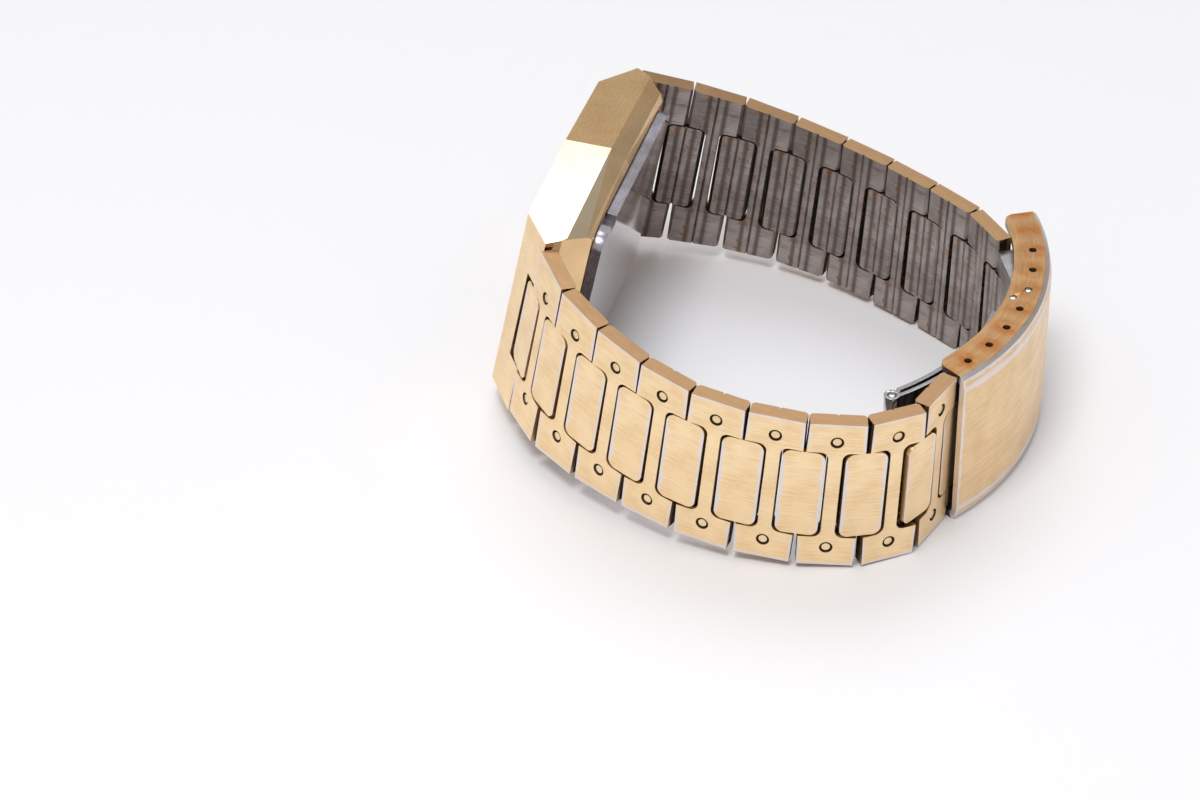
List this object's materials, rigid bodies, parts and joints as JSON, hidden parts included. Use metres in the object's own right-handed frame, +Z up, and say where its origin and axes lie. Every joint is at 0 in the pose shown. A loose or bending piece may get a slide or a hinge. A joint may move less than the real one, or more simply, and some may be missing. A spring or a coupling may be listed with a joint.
{
  "type": "rectangular wristwatch",
  "caption": "Rectangular analogue wristwatch with an H-link metal bracelet and a fold-over clasp, closed in a loop and lying on its side.",
  "frame": {"origin": "middle of the watch seen from above, on the surface that it lies on", "axes": "+Z up, across the strap from 3 o'clock to 9 o'clock; +X from the case towards the clasp; +Y along the case from 12 to 6 o'clock, roughly"},
  "size_m": [0.0604, 0.0594, 0.0264],
  "materials": {
    "case_gold": "polished and brushed gold plate",
    "link_gold": "brushed gold plate, worn at the edges",
    "plate_gold": "brushed gold plate, bevelled",
    "cover_gold": "brushed gold plate with worn bevels",
    "steel": "brushed stainless steel",
    "crystal_glass": "clear mineral glass",
    "dial_face": "satin champagne lacquer",
    "marker_gold": "polished",
    "hand_black": "black lacquer",
    "movement_metal": "satin",
    "holder_plastic": "moulded",
    "coil_copper": "enamelled copper winding",
    "gasket_rubber": "black rubber"
  },
  "bodies": {
    "case": {"case_shell": "case_gold", "case_back": "steel", "back_gasket": "gasket_rubber", "crystal": "crystal_glass", "dial": "dial_face", "hour_markers": "marker_gold", "movement_plate": "movement_metal", "movement_ring": "holder_plastic", "battery": "steel", "coil": "coil_copper"},
    "far_plate_0": {"far_plate_0": "plate_gold"},
    "far_link_1": {"far_link_1": "link_gold"},
    "far_plate_1": {"far_plate_1": "plate_gold"},
    "far_link_2": {"far_link_2": "link_gold"},
    "far_plate_2": {"far_plate_2": "plate_gold"},
    "far_link_3": {"far_link_3": "link_gold"},
    "far_plate_3": {"far_plate_3": "plate_gold"},
    "far_link_4": {"far_link_4": "link_gold"},
    "far_plate_4": {"far_plate_4": "plate_gold"},
    "far_link_5": {"far_link_5": "link_gold"},
    "far_plate_5": {"far_plate_5": "plate_gold"},
    "far_link_6": {"far_link_6": "link_gold"},
    "far_plate_6": {"far_plate_6": "plate_gold"},
    "far_link_7": {"far_link_7": "link_gold"},
    "far_plate_7": {"far_plate_7": "plate_gold"},
    "far_link_8": {"far_link_8": "link_gold"},
    "far_plate_8": {"far_plate_8": "plate_gold"},
    "far_connector": {"far_connector": "steel"},
    "near_plate_0": {"near_plate_0": "plate_gold"},
    "near_link_1": {"near_link_1": "link_gold"},
    "near_plate_1": {"near_plate_1": "plate_gold"},
    "near_link_2": {"near_link_2": "link_gold"},
    "near_plate_2": {"near_plate_2": "plate_gold"},
    "near_link_3": {"near_link_3": "link_gold"},
    "near_plate_3": {"near_plate_3": "plate_gold"},
    "near_link_4": {"near_link_4": "link_gold"},
    "near_plate_4": {"near_plate_4": "plate_gold"},
    "near_link_5": {"near_link_5": "link_gold"},
    "near_plate_5": {"near_plate_5": "plate_gold"},
    "near_link_6": {"near_link_6": "link_gold"},
    "near_plate_6": {"near_plate_6": "plate_gold"},
    "near_link_7": {"near_link_7": "link_gold"},
    "near_plate_7": {"near_plate_7": "plate_gold"},
    "near_link_8": {"near_link_8": "link_gold"},
    "near_connector": {"near_connector": "link_gold", "end_pin": "steel"},
    "clasp_cover": {"clasp_cover": "cover_gold", "clasp_spring_bar": "steel", "cover_pin": "steel"},
    "inner_blade": {"inner_blade": "steel", "knuckle_pin": "steel"},
    "outer_blade": {"outer_blade": "steel"},
    "near_plate_9": {"near_plate_9": "plate_gold"},
    "near_link_9": {"near_link_9": "link_gold"},
    "near_plate_8": {"near_plate_8": "plate_gold"},
    "crown_stem": {"crown_stem": "steel"},
    "crown": {"crown": "case_gold"},
    "second_hand": {"second_hand": "hand_black"},
    "minute_hand": {"minute_hand": "hand_black"},
    "hour_hand": {"hour_hand": "hand_black"}
  },
  "joints": [
    {"name": "far_plate_0_hinge", "type": "hinge", "parent": "case", "child": "far_plate_0", "pos_m": [-0.01679, 0.02705, 0.01371], "axis": [0.1783, -0.0478, 0.9828], "range_deg": [0, 15]},
    {"name": "far_link_1_hinge", "type": "hinge", "parent": "far_plate_0", "child": "far_link_1", "pos_m": [-0.01411, 0.02833, 0.01329], "axis": [0.1662, -0.0445, 0.9851], "range_deg": [0, 18.5]},
    {"name": "far_plate_1_hinge", "type": "hinge", "parent": "far_link_1", "child": "far_plate_1", "pos_m": [-0.01085, 0.02822, 0.01275], "axis": [0.1543, -0.0414, 0.9872], "range_deg": [0, 8]},
    {"name": "far_link_2_hinge", "type": "hinge", "parent": "far_plate_1", "child": "far_link_2", "pos_m": [-0.00791, 0.0279, 0.01229], "axis": [0.1426, -0.0382, 0.989], "range_deg": [0, 8]},
    {"name": "far_plate_2_hinge", "type": "hinge", "parent": "far_link_2", "child": "far_plate_2", "pos_m": [-0.0047, 0.02731, 0.01182], "axis": [0.1309, -0.0351, 0.9908], "range_deg": [0, 8.5]},
    {"name": "far_link_3_hinge", "type": "hinge", "parent": "far_plate_2", "child": "far_link_3", "pos_m": [-0.00182, 0.02655, 0.01143], "axis": [0.1194, -0.032, 0.9923], "range_deg": [0, 8.5]},
    {"name": "far_plate_3_hinge", "type": "hinge", "parent": "far_link_3", "child": "far_plate_3", "pos_m": [0.00127, 0.02546, 0.01104], "axis": [0.1081, -0.029, 0.9937], "range_deg": [0, 9.5]},
    {"name": "far_link_4_hinge", "type": "hinge", "parent": "far_plate_3", "child": "far_link_4", "pos_m": [0.00399, 0.02423, 0.01072], "axis": [0.097, -0.026, 0.9949], "range_deg": [0, 9]},
    {"name": "far_plate_4_hinge", "type": "hinge", "parent": "far_link_4", "child": "far_plate_4", "pos_m": [0.00687, 0.02265, 0.01041], "axis": [0.086, -0.0231, 0.996], "range_deg": [0, 9.5]},
    {"name": "far_link_5_hinge", "type": "hinge", "parent": "far_plate_4", "child": "far_link_5", "pos_m": [0.00936, 0.021, 0.01017], "axis": [0.0753, -0.0202, 0.997], "range_deg": [0, 9]},
    {"name": "far_plate_5_hinge", "type": "hinge", "parent": "far_link_5", "child": "far_plate_5", "pos_m": [0.012, 0.01903, 0.00995], "axis": [0.0648, -0.0174, 0.9977], "range_deg": [0, 9]},
    {"name": "far_link_6_hinge", "type": "hinge", "parent": "far_plate_5", "child": "far_link_6", "pos_m": [0.0143, 0.01712, 0.00977], "axis": [0.0546, -0.0146, 0.9984], "range_deg": [0, 8.5]},
    {"name": "far_plate_6_hinge", "type": "hinge", "parent": "far_link_6", "child": "far_plate_6", "pos_m": [0.01674, 0.0149, 0.00962], "axis": [0.0447, -0.012, 0.9989], "range_deg": [0, 8.5]},
    {"name": "far_link_7_hinge", "type": "hinge", "parent": "far_plate_6", "child": "far_link_7", "pos_m": [0.01891, 0.01283, 0.0095], "axis": [0.0352, -0.0094, 0.9993], "range_deg": [0, 9]},
    {"name": "far_plate_7_hinge", "type": "hinge", "parent": "far_link_7", "child": "far_plate_7", "pos_m": [0.02118, 0.01043, 0.00941], "axis": [0.026, -0.007, 0.9996], "range_deg": [0, 11]},
    {"name": "far_link_8_hinge", "type": "hinge", "parent": "far_plate_7", "child": "far_link_8", "pos_m": [0.02298, 0.00803, 0.00935], "axis": [0.0174, -0.0047, 0.9998], "range_deg": [0, 13]},
    {"name": "far_plate_8_hinge", "type": "hinge", "parent": "far_link_8", "child": "far_plate_8", "pos_m": [0.0245, 0.0051, 0.00932], "axis": [0.0095, -0.0026, 1], "range_deg": [0, 11]},
    {"name": "far_connector_hinge", "type": "hinge", "parent": "far_plate_8", "child": "far_connector", "pos_m": [0.02564, 0.00233, 0.0093], "axis": [0.0029, -0.0008, 1], "range_deg": [0, 1.4]},
    {"name": "near_plate_0_hinge", "type": "hinge", "parent": "case", "child": "near_plate_0", "pos_m": [-0.02583, -0.00452, 0.01382], "axis": [0.1795, -0.0481, 0.9826], "range_deg": [-15, 0]},
    {"name": "near_link_1_hinge", "type": "hinge", "parent": "near_plate_0", "child": "near_link_1", "pos_m": [-0.02508, -0.00741, 0.01354], "axis": [0.17, -0.0455, 0.9844], "range_deg": [-12.5, 0]},
    {"name": "near_plate_1_hinge", "type": "hinge", "parent": "near_link_1", "child": "near_plate_1", "pos_m": [-0.02382, -0.01044, 0.0132], "axis": [0.1604, -0.043, 0.9861], "range_deg": [-11, 0]},
    {"name": "near_link_2_hinge", "type": "hinge", "parent": "near_plate_1", "child": "near_link_2", "pos_m": [-0.02234, -0.01303, 0.01285], "axis": [0.1509, -0.0404, 0.9877], "range_deg": [-13, 0]},
    {"name": "near_plate_2_hinge", "type": "hinge", "parent": "near_link_2", "child": "near_plate_2", "pos_m": [-0.0203, -0.01559, 0.01245], "axis": [0.1414, -0.0379, 0.9892], "range_deg": [-9.5, 0]},
    {"name": "near_link_3_hinge", "type": "hinge", "parent": "near_plate_2", "child": "near_link_3", "pos_m": [-0.01829, -0.01779, 0.01209], "axis": [0.1319, -0.0353, 0.9906], "range_deg": [-10, 0]},
    {"name": "near_plate_3_hinge", "type": "hinge", "parent": "near_link_3", "child": "near_plate_3", "pos_m": [-0.01588, -0.02001, 0.01171], "axis": [0.1224, -0.0328, 0.9919], "range_deg": [-8.5, 0]},
    {"name": "near_link_4_hinge", "type": "hinge", "parent": "near_plate_3", "child": "near_link_4", "pos_m": [-0.0136, -0.02193, 0.01137], "axis": [0.113, -0.0303, 0.9931], "range_deg": [-10, 0]},
    {"name": "near_plate_4_hinge", "type": "hinge", "parent": "near_link_4", "child": "near_plate_4", "pos_m": [-0.01091, -0.02382, 0.01103], "axis": [0.1035, -0.0277, 0.9942], "range_deg": [-9.5, 0]},
    {"name": "near_link_5_hinge", "type": "hinge", "parent": "near_plate_4", "child": "near_link_5", "pos_m": [-0.00834, -0.02533, 0.01073], "axis": [0.0941, -0.0252, 0.9952], "range_deg": [-11, 0]},
    {"name": "near_plate_5_hinge", "type": "hinge", "parent": "near_link_5", "child": "near_plate_5", "pos_m": [-0.00532, -0.02661, 0.01043], "axis": [0.0848, -0.0227, 0.9961], "range_deg": [-11, 0]},
    {"name": "near_link_6_hinge", "type": "hinge", "parent": "near_plate_5", "child": "near_link_6", "pos_m": [-0.00246, -0.02748, 0.01018], "axis": [0.0754, -0.0202, 0.9969], "range_deg": [-9.5, 0]},
    {"name": "near_plate_6_hinge", "type": "hinge", "parent": "near_link_6", "child": "near_plate_6", "pos_m": [0.00075, -0.02822, 0.00994], "axis": [0.0662, -0.0177, 0.9977], "range_deg": [-10, 0]},
    {"name": "near_link_7_hinge", "type": "hinge", "parent": "near_plate_6", "child": "near_link_7", "pos_m": [0.00372, -0.0286, 0.00975], "axis": [0.057, -0.0153, 0.9983], "range_deg": [-11, 0]},
    {"name": "near_plate_7_hinge", "type": "hinge", "parent": "near_link_7", "child": "near_plate_7", "pos_m": [0.00702, -0.02862, 0.00957], "axis": [0.0478, -0.0128, 0.9988], "range_deg": [-14, 0]},
    {"name": "near_link_8_hinge", "type": "hinge", "parent": "near_plate_7", "child": "near_link_8", "pos_m": [0.00995, -0.02802, 0.00945], "axis": [0.0387, -0.0104, 0.9992], "range_deg": [-5, 0]},
    {"name": "clasp_cover_swing", "type": "hinge", "parent": "far_connector", "child": "clasp_cover", "pos_m": [0.02703, -0.00555, 0.0093], "axis": [0, 0, 1], "range_deg": [0, 0.2]},
    {"name": "inner_blade_swing", "type": "hinge", "parent": "clasp_cover", "child": "inner_blade", "pos_m": [0.02529, -0.00691, 0.0093], "axis": [0, 0, 1], "range_deg": [-45, 0]},
    {"name": "outer_blade_unfold", "type": "hinge", "parent": "inner_blade", "child": "outer_blade", "pos_m": [0.01178, -0.02104, 0.0093], "axis": [0, 0, 1], "range_deg": [-9, 0]},
    {"name": "near_connector_hinge", "type": "hinge", "parent": "outer_blade", "child": "near_connector", "pos_m": [0.02015, -0.01677, 0.0093], "axis": [0, 0, 1], "range_deg": [0, 94.5]},
    {"name": "near_plate_9_hinge", "type": "hinge", "parent": "near_connector", "child": "near_plate_9", "pos_m": [0.01831, -0.01914, 0.0093], "axis": [0.004, -0.0011, 1], "range_deg": [0, 5]},
    {"name": "near_link_9_hinge", "type": "hinge", "parent": "near_plate_9", "child": "near_link_9", "pos_m": [0.01675, -0.0217, 0.00931], "axis": [0.0123, -0.0033, 0.9999], "range_deg": [0, 8.5]},
    {"name": "near_plate_8_hinge", "type": "hinge", "parent": "near_link_9", "child": "near_plate_8", "pos_m": [0.01499, -0.02449, 0.00932], "axis": [0.0209, -0.0056, 0.9998], "range_deg": [0, 13.5]},
    {"name": "crown_pull", "type": "slide", "parent": "case", "child": "crown_stem", "axis": [-0.1843, 0.0494, -0.9816], "range_m": [0, 0.001]},
    {"name": "crown_turn", "type": "hinge", "parent": "crown_stem", "child": "crown", "pos_m": [-0.0204, 0.011, 0.01358], "axis": [-0.1843, 0.0494, -0.9816], "continuous": true},
    {"name": "second_hand_turn", "type": "hinge", "parent": "case", "child": "second_hand", "pos_m": [-0.0204, 0.011, 0.01358], "axis": [0.9435, -0.2709, -0.1908], "continuous": true},
    {"name": "minute_hand_turn", "type": "hinge", "parent": "case", "child": "minute_hand", "pos_m": [-0.0204, 0.011, 0.01358], "axis": [0.9435, -0.2709, -0.1908], "continuous": true},
    {"name": "hour_hand_turn", "type": "hinge", "parent": "case", "child": "hour_hand", "pos_m": [-0.0204, 0.011, 0.01358], "axis": [0.9435, -0.2709, -0.1908], "continuous": true}
  ],
  "couplings": [
    {"joint": "outer_blade_unfold", "follows": "inner_blade_swing", "ratio": 0.2},
    {"joint": "near_connector_hinge", "follows": "inner_blade_swing", "ratio": -2.1},
    {"joint": "minute_hand_turn", "follows": "second_hand_turn", "ratio": 0.016667},
    {"joint": "hour_hand_turn", "follows": "second_hand_turn", "ratio": 0.0013889}
  ]
}
